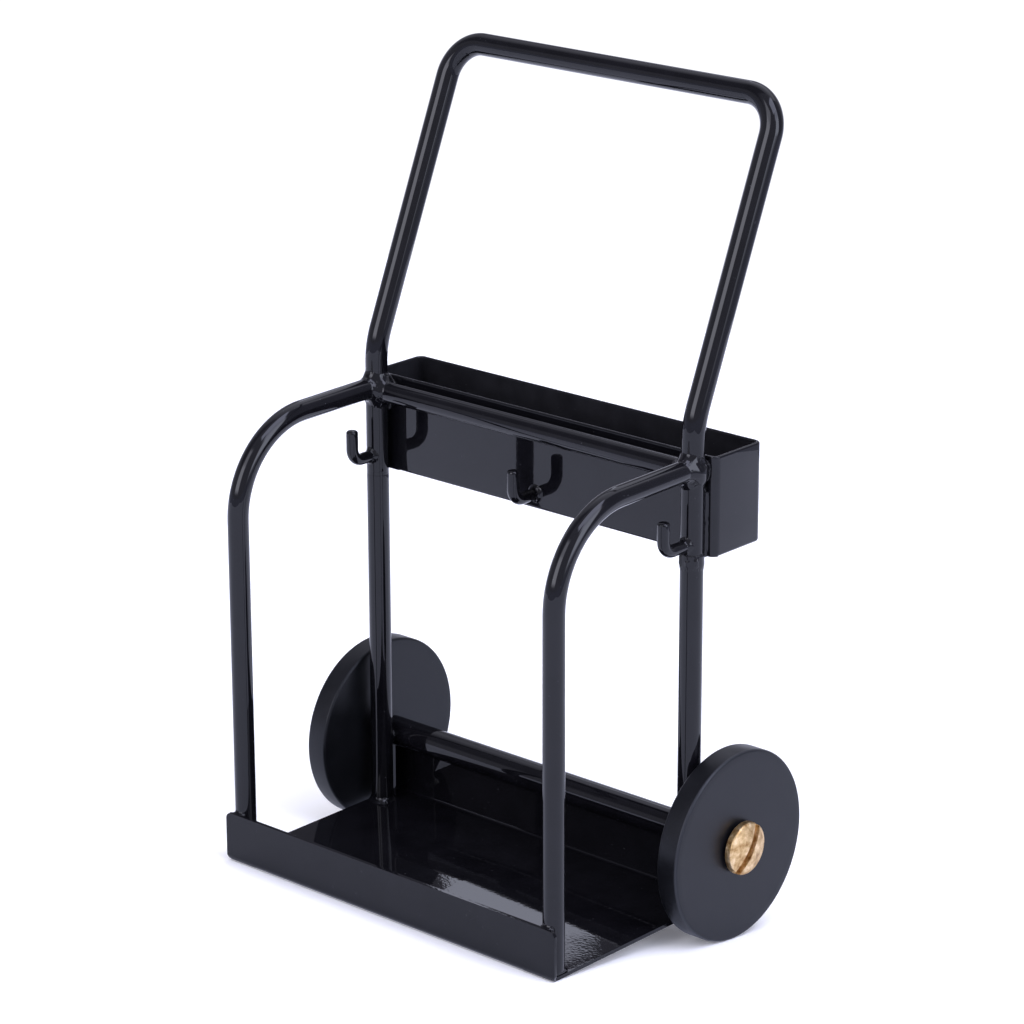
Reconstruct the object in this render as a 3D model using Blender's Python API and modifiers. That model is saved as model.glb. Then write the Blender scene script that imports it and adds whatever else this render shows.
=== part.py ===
"""Miniature two-wheel torch cart: bent rod frame, folded base plate, tool tray, hooks and wheels.

Every piece is modelled in the cart's own frame (x across, y from the front lip to the wheels,
z along the uprights, millimetres from the bottom of the wheels). One empty, the stance, leans the
whole cart forward until it stands on its wheels and on the front bend of the base plate.
"""
import math

import bmesh
import bpy
from mathutils import Matrix, Vector

MM = 0.001

# Rods and wire (diameters of the painted steel)
HOOP_D = 3.0            # handle hoop and the two rear uprights
ARCH_D = 2.8            # side arches and cross rod
HOOK_D = 1.6
TOUCH = 0.04            # gap left between two pieces that are soldered together
FOOT_LIFT = 0.21        # arch feet clear the inside of the front fold

# Frame
HALF_W = 27.2           # uprights and arches, from the middle of the cart
FRONT_Y = -26.2         # front legs of the arches; the rear uprights stand at y = 0
ARCH_Z = 63.5           # arch bar where it meets the rear upright
ARCH_DROP = 0.35        # how much lower the bar is above the front leg
ARCH_BEND_R = 12.25
CROSS_Z = 63.0
SPLICE_Z = 51.6         # hoop ends stand on the lower uprights here
HOOP_BEND_Z = 69.15
HOOP_BEND_R = 12.0
HOOP_LEAN = math.radians(22.9)
HOOP_REACH = 41.85      # along the leaning legs, from the bend to the crossbar
HOOP_CORNER_R = 4.9

# Base plate, one folded sheet
SHEET = 0.5
PLATE_Z = 3.5           # underside
LIP_Y = -28.15          # front face of the lip
LIP_TOP = 10.45
LIP_HALF_W = 29.0
PLATE_HALF_W = 28.6
FOLD_R = 0.9            # outside radius of the folds
FLANGE_Y = 4.6          # rear face of the rear flange

# Axle bar, wheels and screws
WHEEL_D = 25.6
WHEEL_T = 3.2
WHEEL_X = 29.4          # inner face of the wheel
WHEEL_EDGE = 0.35
AXLE_Y = 3.75
AXLE_D = 4.0
AXLE_HALF_L = 28.9
TAP_D = 2.6
TAP_DEPTH = 7.0
THREAD_D = 2.5
SHOULDER_D = 3.4
BORE_D = 3.52
HEAD_D = 7.0
HEAD_T = 1.1
HEAD_DOME = 0.6         # the crown above the rim
HEAD_ROUND = 0.3
HEAD_X = 32.97          # underside of the screw head
SLOT_W = 1.1
SLOT_DEPTH = 0.75
SLOT_TURN = {"right": math.radians(54.8), "left": math.radians(20.0)}

# Tray
TRAY_X = -0.02
TRAY_HALF_W = 29.58
TRAY_FRONT = 1.56
TRAY_BACK = 11.1
TRAY_BOTTOM = 51.7
TRAY_TOP = 64.95
TRAY_WALL = 0.5
TRAY_CORNER_R = 1.1

# Hooks: x, root y, reach to the upright part, height of the stem, height of the tip
HOOK_BEND_R = 1.7
HOOKS = {
    "hook_left": (-HALF_W, -HOOP_D / 2, -4.85, 54.0, 58.35),
    "hook_middle": (-0.35, TRAY_FRONT, -2.75, 53.8, 58.05),
    "hook_right": (HALF_W, -HOOP_D / 2, -5.6, 53.6, 57.8),
}

AXLE_Z = WHEEL_D / 2
FLOOR_Z = PLATE_Z + SHEET       # upper face of the base plate


def rest_tilt():
    """Lean that brings the front fold and the wheels down to one level."""
    run = AXLE_Y - (LIP_Y + FOLD_R)
    rise = AXLE_Z - (PLATE_Z + FOLD_R)
    return math.asin((WHEEL_D / 2 - FOLD_R) / math.hypot(run, rise)) - math.atan2(rise, run)


def stance_matrix():
    """World matrix of the cart's frame, with the middle of its foot print at the origin."""
    tilt = rest_tilt()
    turn = Matrix.Rotation(tilt, 4, "X")
    wheel = turn @ Vector((0.0, AXLE_Y, AXLE_Z))
    shoulder = turn @ Vector((0.0, FRONT_Y + ARCH_BEND_R, ARCH_Z - ARCH_DROP - ARCH_BEND_R))
    back = wheel.y + WHEEL_D / 2
    front = shoulder.y - ARCH_BEND_R - ARCH_D / 2
    shift = Vector((0.0, -(front + back) / 2, WHEEL_D / 2 - wheel.z)) * MM
    return Matrix.Translation(shift) @ turn


def clear_scene():
    for obj in list(bpy.data.objects):
        bpy.data.objects.remove(obj, do_unlink=True)
    for block in (bpy.data.meshes, bpy.data.curves, bpy.data.materials):
        for item in list(block):
            block.remove(item)


def collection(name):
    col = bpy.data.collections.new(name)
    bpy.context.scene.collection.children.link(col)
    return col


clear_scene()
PARTS = collection("torch_cart")
CUTTERS = collection("cutters")
STANCE = bpy.data.objects.new("stance", None)
STANCE.empty_display_size = 0.02
STANCE.matrix_world = stance_matrix()
PARTS.objects.link(STANCE)


def paint(name, colour, roughness, metallic=0.0):
    mat = bpy.data.materials.new(name)
    mat.use_nodes = True
    shader = mat.node_tree.nodes["Principled BSDF"]
    shader.inputs["Base Color"].default_value = (*colour, 1.0)
    shader.inputs["Roughness"].default_value = roughness
    shader.inputs["Metallic"].default_value = metallic
    mat.diffuse_color = (*colour, 1.0)
    return mat


def gloss_black(name):
    return paint(name, (0.012, 0.012, 0.014), 0.12)


def add(name, data, mat=None, at=(0.0, 0.0, 0.0), turn=(0.0, 0.0, 0.0), cutter=False):
    """Link an object under the stance, at a place given in millimetres of the cart's frame."""
    obj = bpy.data.objects.new(name, data)
    (CUTTERS if cutter else PARTS).objects.link(obj)
    obj.parent = STANCE
    obj.location = Vector(at) * MM
    obj.rotation_euler = turn
    if mat:
        data.materials.append(mat)
    if cutter:
        obj.hide_render = True
        obj.display_type = "WIRE"
    return obj


def smooth(mesh, angle=35.0):
    mesh.shade_smooth()
    mesh.set_sharp_from_angle(angle=math.radians(angle))


def rounded_path(corners, radii, steps=7):
    """Points along straight runs joined by arcs; one radius for each inner corner."""
    path = [Vector(corners[0])]
    for before, corner, after, radius in zip(corners, corners[1:], corners[2:], radii):
        corner = Vector(corner)
        back = (Vector(before) - corner).normalized()
        ahead = (Vector(after) - corner).normalized()
        half = back.angle(ahead) / 2
        centre = corner + (back + ahead).normalized() * radius / math.sin(half)
        start = corner + back * radius / math.tan(half) - centre
        end = corner + ahead * radius / math.tan(half) - centre
        total = start.angle(end)
        for k in range(steps + 1):
            a = total * k / steps
            arm = (start * math.sin(total - a) + end * math.sin(a)) / math.sin(total)
            path.append(centre + arm)
    path.append(Vector(corners[-1]))
    return path


def rod(name, path, diameter, sides_step=4):
    """Round bar along a path in millimetres, with flat closed ends."""
    curve = bpy.data.curves.new(name, "CURVE")
    curve.dimensions = "3D"
    curve.bevel_depth = diameter / 2 * MM
    curve.bevel_resolution = sides_step
    curve.use_fill_caps = True
    curve.resolution_u = 1
    spline = curve.splines.new("POLY")
    spline.points.add(len(path) - 1)
    for point, place in zip(spline.points, path):
        point.co = (*(Vector(place) * MM), 1.0)
    spline.use_smooth = True
    return add(name, curve, gloss_black(name + "_paint"))


def cylinder_mesh(name, diameter, length, segments=40, end_round=0.0):
    """Closed cylinder on the Z axis, centred, as bmesh cone with equal radii."""
    bm = bmesh.new()
    bmesh.ops.create_cone(bm, cap_ends=True, segments=segments, radius1=diameter / 2 * MM,
                          radius2=diameter / 2 * MM, depth=length * MM)
    if end_round:
        rim = [e for e in bm.edges if e.calc_face_angle(0.0) > 1.0]
        bmesh.ops.bevel(bm, geom=rim, offset=end_round * MM, segments=2, profile=0.5,
                        affect="EDGES", clamp_overlap=True)
    mesh = bpy.data.meshes.new(name)
    bm.to_mesh(mesh)
    bm.free()
    return mesh


def cutter_rod(name, start, end, diameter, segments=40):
    """Cylinder from one point to another, used to cut a neighbour."""
    start, end = Vector(start), Vector(end)
    along = end - start
    obj = add(name, cylinder_mesh(name, diameter, along.length, segments), None,
              (start + end) / 2, cutter=True)
    obj.rotation_euler = along.to_track_quat("Z", "Y").to_euler()
    return obj


def cutter_box(name, centre, size, turn=(0.0, 0.0, 0.0)):
    bm = bmesh.new()
    bmesh.ops.create_cube(bm, size=1.0, matrix=Matrix.Diagonal((*(Vector(size) * MM), 1.0)))
    mesh = bpy.data.meshes.new(name)
    bm.to_mesh(mesh)
    bm.free()
    return add(name, mesh, None, centre, turn, cutter=True)


def cut(obj, *tools):
    for tool in tools:
        mod = obj.modifiers.new("cut_" + tool.name, "BOOLEAN")
        mod.operation = "DIFFERENCE"
        mod.solver = "EXACT"
        mod.object = tool


def turned(name, outline, mat, at, turn, segments=40):
    """Ring or disc from a closed outline of (radius, height) points, outer side going down."""
    mesh = bpy.data.meshes.new(name)
    bm = bmesh.new()
    verts = [bm.verts.new((r * MM, 0.0, h * MM)) for r, h in outline]
    for one, two in zip(verts, verts[1:] + verts[:1]):
        bm.edges.new((one, two))
    bm.to_mesh(mesh)
    bm.free()
    obj = add(name, mesh, mat, at, turn)
    screw = obj.modifiers.new("turn", "SCREW")
    screw.axis = "Z"
    screw.steps = segments
    screw.render_steps = segments
    screw.use_merge_vertices = True
    screw.merge_threshold = 0.000001
    screw.use_smooth_shade = True
    return obj


# ---------------------------------------------------------------- base plate

def plate_stations():
    """(y, z, half width) along the outer face of the sheet, from the lip's top to the flange."""
    corner = 0.9
    stations = []
    for k in range(4):
        a = math.pi / 2 * k / 3
        stations.append((LIP_Y, LIP_TOP - corner * (1 - math.cos(a)),
                         LIP_HALF_W - corner * (1 - math.sin(a))))
    side = LIP_HALF_W - PLATE_HALF_W
    for k in range(7):
        a = math.pi / 2 * k / 6
        stations.append((LIP_Y + FOLD_R * (1 - math.cos(a)), PLATE_Z + FOLD_R * (1 - math.sin(a)),
                         LIP_HALF_W - side * k / 6))
    for k in range(6):
        a = math.pi / 2 * k / 5
        stations.append((FLANGE_Y - FOLD_R * (1 - math.sin(a)), PLATE_Z + FOLD_R * (1 - math.cos(a)),
                         PLATE_HALF_W))
    stations.append((FLANGE_Y, flange_top(), PLATE_HALF_W))
    return stations


def flange_top():
    """The flange stops just under the axle bar."""
    near = FLANGE_Y - SHEET - AXLE_Y
    return AXLE_Z - math.sqrt((AXLE_D / 2) ** 2 - near ** 2) - TOUCH


def make_base_plate():
    stations = plate_stations()
    bm = bmesh.new()
    rows = []
    for y, z, half in stations:
        rows.append([bm.verts.new((x * MM, y * MM, z * MM)) for x in (-half, 0.0, half)])
    for upper, lower in zip(rows, rows[1:]):
        for k in range(2):
            bm.faces.new((upper[k], lower[k], lower[k + 1], upper[k + 1]))
    bmesh.ops.recalc_face_normals(bm, faces=bm.faces)
    bm.faces.ensure_lookup_table()
    if bm.faces[0].normal.y > 0:
        bmesh.ops.reverse_faces(bm, faces=bm.faces)
    mesh = bpy.data.meshes.new("base_plate")
    bm.to_mesh(mesh)
    bm.free()
    smooth(mesh)
    plate = add("base_plate", mesh, gloss_black("base_plate_paint"))
    shell = plate.modifiers.new("sheet", "SOLIDIFY")
    shell.thickness = SHEET * MM
    shell.offset = -1.0
    shell.use_even_offset = True
    return plate


# ---------------------------------------------------------------- rod frame

def make_uprights():
    for side, sign in (("left", -1), ("right", 1)):
        rod("upright_" + side, [(sign * HALF_W, 0, FLOOR_Z + TOUCH),
                                (sign * HALF_W, 0, SPLICE_Z - TOUCH)], HOOP_D, 6)


def hoop_path():
    top_y = HOOP_REACH * math.sin(HOOP_LEAN)
    top_z = HOOP_BEND_Z + HOOP_REACH * math.cos(HOOP_LEAN)
    corners = [(-HALF_W, 0, SPLICE_Z + TOUCH), (-HALF_W, 0, HOOP_BEND_Z), (-HALF_W, top_y, top_z),
               (HALF_W, top_y, top_z), (HALF_W, 0, HOOP_BEND_Z), (HALF_W, 0, SPLICE_Z + TOUCH)]
    return rounded_path(corners, (HOOP_BEND_R, HOOP_CORNER_R, HOOP_CORNER_R, HOOP_BEND_R))


def arch_path(sign):
    corners = [(sign * HALF_W, FRONT_Y, FLOOR_Z + FOOT_LIFT),
               (sign * HALF_W, FRONT_Y, ARCH_Z - ARCH_DROP),
               (sign * HALF_W, -HOOP_D / 2 - TOUCH, ARCH_Z)]
    return rounded_path(corners, (ARCH_BEND_R,), 10)


def make_rods():
    make_uprights()
    rod("handle_hoop", hoop_path(), HOOP_D, 5)
    rod("side_arch_left", arch_path(-1), ARCH_D, 5)
    rod("side_arch_right", arch_path(1), ARCH_D, 5)
    reach = HALF_W - HOOP_D / 2 - TOUCH
    rod("cross_rod", [(-reach, 0, CROSS_Z), (reach, 0, CROSS_Z)], ARCH_D, 6)


# ---------------------------------------------------------------- tray and hooks

def make_tray():
    """Open box folded from sheet: four walls with rounded upright corners, and a floor."""
    bm = bmesh.new()
    size = Vector((2 * TRAY_HALF_W, TRAY_BACK - TRAY_FRONT, TRAY_TOP - TRAY_BOTTOM)) * MM
    bmesh.ops.create_cube(bm, size=1.0, matrix=Matrix.Diagonal((*size, 1.0)))
    upright = [e for e in bm.edges
               if abs((e.verts[0].co - e.verts[1].co).normalized().z) > 0.9]
    bmesh.ops.bevel(bm, geom=upright, offset=TRAY_CORNER_R * MM, segments=4, profile=0.5,
                    affect="EDGES")
    top = [f for f in bm.faces if f.normal.z > 0.9]
    bmesh.ops.delete(bm, geom=top, context="FACES_ONLY")
    mesh = bpy.data.meshes.new("tray")
    bm.to_mesh(mesh)
    bm.free()
    smooth(mesh, 40)
    centre = (TRAY_X, (TRAY_FRONT + TRAY_BACK) / 2, (TRAY_BOTTOM + TRAY_TOP) / 2)
    tray = add("tray", mesh, gloss_black("tray_paint"), centre)
    shell = tray.modifiers.new("sheet", "SOLIDIFY")
    shell.thickness = TRAY_WALL * MM
    shell.offset = -1.0
    shell.use_even_offset = True
    shell.use_quality_normals = True
    return tray


def make_hooks():
    for name, (x, root, reach, stem, tip) in HOOKS.items():
        path = rounded_path([(x, root - TOUCH, stem), (x, reach, stem), (x, reach, tip)],
                            (HOOK_BEND_R,), 6)
        rod(name, path, HOOK_D, 3)


# ---------------------------------------------------------------- axle, wheels, screws

def make_axle():
    bar = add("axle_bar", cylinder_mesh("axle_bar", AXLE_D, 2 * AXLE_HALF_L, 32),
              gloss_black("axle_bar_paint"), (0, AXLE_Y, AXLE_Z), (0, math.pi / 2, 0))
    smooth(bar.data)
    for side, sign in (("left", -1), ("right", 1)):
        cut(bar, cutter_rod("tap_" + side,
                            (sign * (AXLE_HALF_L - TAP_DEPTH), AXLE_Y, AXLE_Z),
                            (sign * (AXLE_HALF_L + 2.0), AXLE_Y, AXLE_Z), TAP_D, 24))


def make_wheels():
    rubber = (0.035, 0.037, 0.045)
    r, bore, half, edge = WHEEL_D / 2, BORE_D / 2, WHEEL_T / 2, WHEEL_EDGE
    outline = [(bore, half), (r - edge, half), (r - edge * 0.3, half - edge * 0.3),
               (r, half - edge), (r, -half + edge), (r - edge * 0.3, -half + edge * 0.3),
               (r - edge, -half), (bore, -half)]
    for side, sign in (("left", -1), ("right", 1)):
        turned("wheel_" + side, outline, paint("wheel_%s_satin" % side, rubber, 0.5),
               (sign * (WHEEL_X + half), AXLE_Y, AXLE_Z), (0, sign * math.pi / 2, 0), 64)


def screw_outline():
    """Head, shoulder and thread, from the head's crown down to the thread's end."""
    crown = HEAD_X + HEAD_T
    points = []
    for k in range(1, 5):
        points.append(((HEAD_D / 2 - HEAD_ROUND) * k / 5, crown + HEAD_DOME * (1 - (k / 5) ** 2)))
    for k in range(4):
        a = math.pi / 2 * k / 3
        points.append((HEAD_D / 2 - HEAD_ROUND * (1 - math.sin(a)),
                       crown - HEAD_ROUND * (1 - math.cos(a))))
    points += [(HEAD_D / 2, HEAD_X), (SHOULDER_D / 2, HEAD_X),
               (SHOULDER_D / 2, AXLE_HALF_L + TOUCH), (THREAD_D / 2, AXLE_HALF_L + TOUCH),
               (THREAD_D / 2, AXLE_HALF_L - TAP_DEPTH + 1.2)]
    return points


def make_screws():
    for side, sign in (("left", -1), ("right", 1)):
        name = "axle_screw_" + side
        points = screw_outline()
        mesh = bpy.data.meshes.new(name)
        bm = bmesh.new()
        top, bottom = HEAD_X + HEAD_T + HEAD_DOME, points[-1][1]
        chain = [(0.0, top)] + points + [(0.0, bottom)]
        verts = [bm.verts.new((r * MM, 0.0, h * MM)) for r, h in chain]
        for one, two in zip(verts, verts[1:]):
            bm.edges.new((one, two))
        bm.to_mesh(mesh)
        bm.free()
        brass = paint(name + "_brass", (0.55, 0.36, 0.16), 0.38, 1.0)
        obj = add(name, mesh, brass, (0, AXLE_Y, AXLE_Z), (0, sign * math.pi / 2, 0))
        spin = obj.modifiers.new("turn", "SCREW")
        spin.axis = "Z"
        spin.steps = 40
        spin.render_steps = 40
        spin.use_merge_vertices = True
        spin.merge_threshold = 0.000001
        spin.use_smooth_shade = True
        slot = cutter_box("slot_" + side, (sign * (HEAD_X + HEAD_T), AXLE_Y, AXLE_Z),
                          (2 * SLOT_DEPTH, HEAD_D + 2.0, SLOT_W), (SLOT_TURN[side], 0, 0))
        cut(obj, slot)


# ---------------------------------------------------------------- solder beads

def bead(name, at, turn, inner, outer, height):
    """Soft-edged ring of solder with its foot at z = 0 of its own axis."""
    outline = [(inner + 0.12, height), (inner + (outer - inner) * 0.45, height * 0.62),
               (outer - 0.08, height * 0.22), (outer, 0.0), (inner, 0.0), (inner, height * 0.9)]
    return turned(name, outline, gloss_black(name + "_paint"), at, turn, 28)


def make_beads():
    loose = 2 * TOUCH
    for side, sign in (("left", -1), ("right", 1)):
        x = sign * HALF_W
        post = cutter_rod("post_" + side, (x, 0, SPLICE_Z - 8), (x, 0, ARCH_Z + 8), HOOP_D + loose)
        foot = HOOP_D / 2 - 0.35
        lean = math.atan2(ARCH_DROP, -FRONT_Y)
        joint = bead("solder_arch_" + side, (x, -foot, ARCH_Z), (math.pi / 2 + lean, 0, 0),
                     ARCH_D / 2 + TOUCH, ARCH_D / 2 + 0.75, 1.15)
        beam = cutter_rod("beam_" + side, (0, 0, CROSS_Z), (x, 0, CROSS_Z), ARCH_D + loose)
        cut(joint, post, beam)
        joint = bead("solder_cross_" + side, (sign * (HALF_W - foot), 0, CROSS_Z),
                     (0, -sign * math.pi / 2, 0), ARCH_D / 2 + TOUCH, ARCH_D / 2 + 0.7, 1.15)
        wall = cutter_box("wall_" + side, (sign * HALF_W, TRAY_FRONT - TOUCH + 3.0, CROSS_Z),
                          (12, 6.0, 8))
        arch = cutter_rod("bar_" + side, (x, -9, ARCH_Z - 9 * math.tan(lean)),
                          (x, 1, ARCH_Z + math.tan(lean)), ARCH_D + 1.6)
        cut(joint, post, wall, arch)
        bead("solder_upright_foot_" + side, (x, 0, FLOOR_Z + TOUCH), (0, 0, 0),
             HOOP_D / 2 + TOUCH, HOOP_D / 2 + 0.75, 0.8)
        foot_bead = bead("solder_arch_foot_" + side, (x, FRONT_Y, FLOOR_Z + 0.1), (0, 0, 0),
                         ARCH_D / 2 + TOUCH, ARCH_D / 2 + 0.8, 0.9)
        lip = cutter_box("lip_" + side, (x, LIP_Y + SHEET + 0.14 - 3.0, FLOOR_Z + 1.0),
                         (10, 6.0, 8))
        cut(foot_bead, lip)
    for name, (x, root, reach, stem, tip) in HOOKS.items():
        on_post = name != "hook_middle"
        start = root + (0.3 if on_post else -TOUCH)
        spot = bead("solder_" + name, (x, start, stem), (math.pi / 2, 0, 0),
                    HOOK_D / 2 + TOUCH, HOOK_D / 2 + 0.6, 0.9 if on_post else 0.7)
        if on_post:
            cut(spot, bpy.data.objects["post_" + name.split("_")[1]])


make_base_plate()
make_rods()
make_tray()
make_hooks()
make_axle()
make_wheels()
make_screws()
make_beads()
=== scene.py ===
"""Looks of the miniature torch cart: enamelled rods and sheet, satin wheels, brass screws.

Pieces are modelled in the cart's own frame in millimetres (x across, y from lip to wheels, z along
the uprights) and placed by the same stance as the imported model.
"""

import math

import bmesh
import bpy
import numpy as np
from mathutils import Matrix, Vector


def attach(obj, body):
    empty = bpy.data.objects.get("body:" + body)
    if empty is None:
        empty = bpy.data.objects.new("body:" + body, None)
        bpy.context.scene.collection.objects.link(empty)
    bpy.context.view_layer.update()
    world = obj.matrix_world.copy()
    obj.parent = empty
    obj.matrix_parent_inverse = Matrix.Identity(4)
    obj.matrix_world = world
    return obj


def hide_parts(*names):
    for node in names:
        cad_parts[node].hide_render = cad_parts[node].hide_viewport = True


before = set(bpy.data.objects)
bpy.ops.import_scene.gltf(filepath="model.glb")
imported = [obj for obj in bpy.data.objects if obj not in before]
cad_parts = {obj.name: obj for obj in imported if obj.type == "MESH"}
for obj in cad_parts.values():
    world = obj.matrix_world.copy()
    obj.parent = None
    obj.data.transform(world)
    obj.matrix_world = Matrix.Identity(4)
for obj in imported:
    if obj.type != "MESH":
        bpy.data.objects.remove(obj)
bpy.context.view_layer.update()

MM = 0.001

# ---------------------------------------------------------------- sizes, as in the CAD model

HOOP_R, ARCH_R, HOOK_R = 1.5, 1.4, 0.8
HALF_W, FRONT_Y = 27.2, -26.2
ARCH_Z, ARCH_DROP, ARCH_BEND_R = 63.5, 0.35, 12.25
CROSS_Z, SPLICE_Z = 63.0, 51.6
HOOP_BEND_Z, HOOP_BEND_R = 69.15, 12.0
HOOP_LEAN, HOOP_REACH, HOOP_CORNER_R = math.radians(22.9), 41.85, 4.9
SHEET, PLATE_Z, LIP_Y, LIP_TOP = 0.5, 3.5, -28.15, 10.45
LIP_HALF_W, PLATE_HALF_W = 29.0, 28.6
FOLD_R, FLANGE_Y = 0.9, 4.6
WHEEL_R, WHEEL_T, WHEEL_X, WHEEL_EDGE = 12.8, 3.2, 29.4, 0.35
AXLE_Y, AXLE_Z, AXLE_R, AXLE_HALF_L = 3.75, 12.8, 2.0, 28.9
BORE_R, SHOULDER_R, THREAD_R = 1.76, 1.7, 1.25
HEAD_R, HEAD_T, HEAD_ROUND, HEAD_X, HEAD_DOME = 3.5, 1.1, 0.3, 32.97, 0.6
SLOT_W, SLOT_DEPTH = 1.1, 0.75
SLOT_TURN = {"right": math.radians(54.8), "left": math.radians(20.0)}
TRAY_X, TRAY_HALF_W, TRAY_FRONT, TRAY_BACK = -0.02, 29.58, 1.56, 11.1
TRAY_BOTTOM, TRAY_TOP, TRAY_WALL, TRAY_CORNER_R = 51.7, 64.95, 0.5, 1.1
HOOK_BEND_R = 1.7
HOOKS = {"left": (-HALF_W, -HOOP_R, -4.85, 54.0, 58.35),
         "middle": (-0.35, TRAY_FRONT, -2.75, 53.8, 58.05),
         "right": (HALF_W, -HOOP_R, -5.6, 53.6, 57.8)}
FLOOR_Z = PLATE_Z + SHEET   # upper face of the base plate
GAP = 0.04                  # bars stop this far short of what they meet


def stance():
    """Matrix from the cart's frame in millimetres to the world, with the cart leaning at rest."""
    run, rise = AXLE_Y - (LIP_Y + FOLD_R), AXLE_Z - (PLATE_Z + FOLD_R)
    tilt = math.asin((WHEEL_R - FOLD_R) / math.hypot(run, rise)) - math.atan2(rise, run)
    turn = Matrix.Rotation(tilt, 4, "X")
    wheel = turn @ Vector((0.0, AXLE_Y, AXLE_Z))
    shoulder = turn @ Vector((0.0, FRONT_Y + ARCH_BEND_R, ARCH_Z - ARCH_DROP - ARCH_BEND_R))
    back, front = wheel.y + WHEEL_R, shoulder.y - ARCH_BEND_R - ARCH_R
    shift = Vector((0.0, -(front + back) / 2, WHEEL_R - wheel.z))
    return Matrix.Diagonal((MM, MM, MM, 1.0)) @ Matrix.Translation(shift) @ turn


STANCE = stance()
ROW = np.array(STANCE)


# ---------------------------------------------------------------- materials

def nodes_of(name):
    """New material with its node tree and its Principled shader."""
    mat = bpy.data.materials.new(name)
    mat.use_nodes = True
    tree = mat.node_tree
    return mat, tree, tree.nodes["Principled BSDF"]


def coords(tree):
    """Object coordinates in millimetres."""
    tex = tree.nodes.new("ShaderNodeTexCoord")
    mul = tree.nodes.new("ShaderNodeVectorMath")
    mul.operation = "SCALE"
    mul.inputs["Scale"].default_value = 1000.0
    tree.links.new(tex.outputs["Object"], mul.inputs[0])
    return mul.outputs[0]


def noise(tree, vector, scale, detail=2.0, rough=0.5):
    node = tree.nodes.new("ShaderNodeTexNoise")
    node.inputs["Scale"].default_value = scale
    node.inputs["Detail"].default_value = detail
    node.inputs["Roughness"].default_value = rough
    tree.links.new(vector, node.inputs["Vector"])
    return node.outputs["Fac"]


def ramp(tree, fac, stops):
    """Colour ramp through (place, value) stops, a value being a grey or a colour."""
    node = tree.nodes.new("ShaderNodeValToRGB")
    while len(node.color_ramp.elements) < len(stops):
        node.color_ramp.elements.new(0.5)
    for element, (place, value) in zip(node.color_ramp.elements, stops):
        element.position = place
        rgb = value if isinstance(value, tuple) else (value,) * 3
        element.color = (*rgb, 1.0)
    tree.links.new(fac, node.inputs["Fac"])
    return node.outputs["Color"]


def bump(tree, height, distance, strength=1.0, normal=None):
    """Bumped normal; distance in metres, normal is an earlier bump to build on."""
    node = tree.nodes.new("ShaderNodeBump")
    node.inputs["Strength"].default_value = strength
    node.inputs["Distance"].default_value = distance
    tree.links.new(height, node.inputs["Height"])
    if normal is not None:
        tree.links.new(normal, node.inputs["Normal"])
    return node.outputs["Normal"]


def mix(tree, fac, one, two):
    """Colour between one and two; each input is a number, a colour or a socket."""
    node = tree.nodes.new("ShaderNodeMix")
    node.data_type = "RGBA"
    for value, socket in ((fac, node.inputs["Factor"]), (one, node.inputs["A"]),
                          (two, node.inputs["B"])):
        if isinstance(value, (float, int)):
            socket.default_value = value
        elif isinstance(value, tuple):
            socket.default_value = (*value, 1.0)
        else:
            tree.links.new(value, socket)
    return node.outputs["Result"]


def rim_mask(tree, start, full, reach):
    """1 on the outer corner of a wheel: beyond a radius from the axle and a distance from x = 0."""
    here = coords(tree)
    split = tree.nodes.new("ShaderNodeSeparateXYZ")
    tree.links.new(here, split.inputs[0])
    hub = STANCE @ Vector((0.0, AXLE_Y, AXLE_Z))

    def op(kind, a, b=None):
        node = tree.nodes.new("ShaderNodeMath")
        node.operation = kind
        for value, socket in zip((a, b), node.inputs):
            if isinstance(value, (int, float)):
                socket.default_value = value
            elif value is not None:
                tree.links.new(value, socket)
        return node.outputs[0]
    dy = op("SUBTRACT", split.outputs[1], hub.y * 1000)
    dz = op("SUBTRACT", split.outputs[2], hub.z * 1000)
    radius = op("SQRT", op("ADD", op("MULTIPLY", dy, dy), op("MULTIPLY", dz, dz)))
    band = tree.nodes.new("ShaderNodeMapRange")
    band.inputs["From Min"].default_value, band.inputs["From Max"].default_value = start, full
    tree.links.new(radius, band.inputs["Value"])
    out = op("GREATER_THAN", op("ABSOLUTE", split.outputs[0]), reach)
    return op("MULTIPLY", band.outputs[0], out)


def twist(tree, here):
    """Height in millimetres of the base plate's slight twist towards its right side."""
    split = tree.nodes.new("ShaderNodeSeparateXYZ")
    tree.links.new(here, split.inputs[0])
    across = tree.nodes.new("ShaderNodeMapRange")
    for socket, value in (("From Min", 0.0), ("From Max", 28.0), ("To Min", 0.0170),
                          ("To Max", -0.0090)):
        across.inputs[socket].default_value = value
    tree.links.new(split.outputs[0], across.inputs["Value"])
    along = tree.nodes.new("ShaderNodeMath")
    along.operation = "ADD"
    along.inputs[1].default_value = 12.0
    tree.links.new(split.outputs[1], along.inputs[0])
    height = tree.nodes.new("ShaderNodeMath")
    height.operation = "MULTIPLY"
    tree.links.new(across.outputs[0], height.inputs[0])
    tree.links.new(along.outputs[0], height.inputs[1])
    return height.outputs[0]


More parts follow.
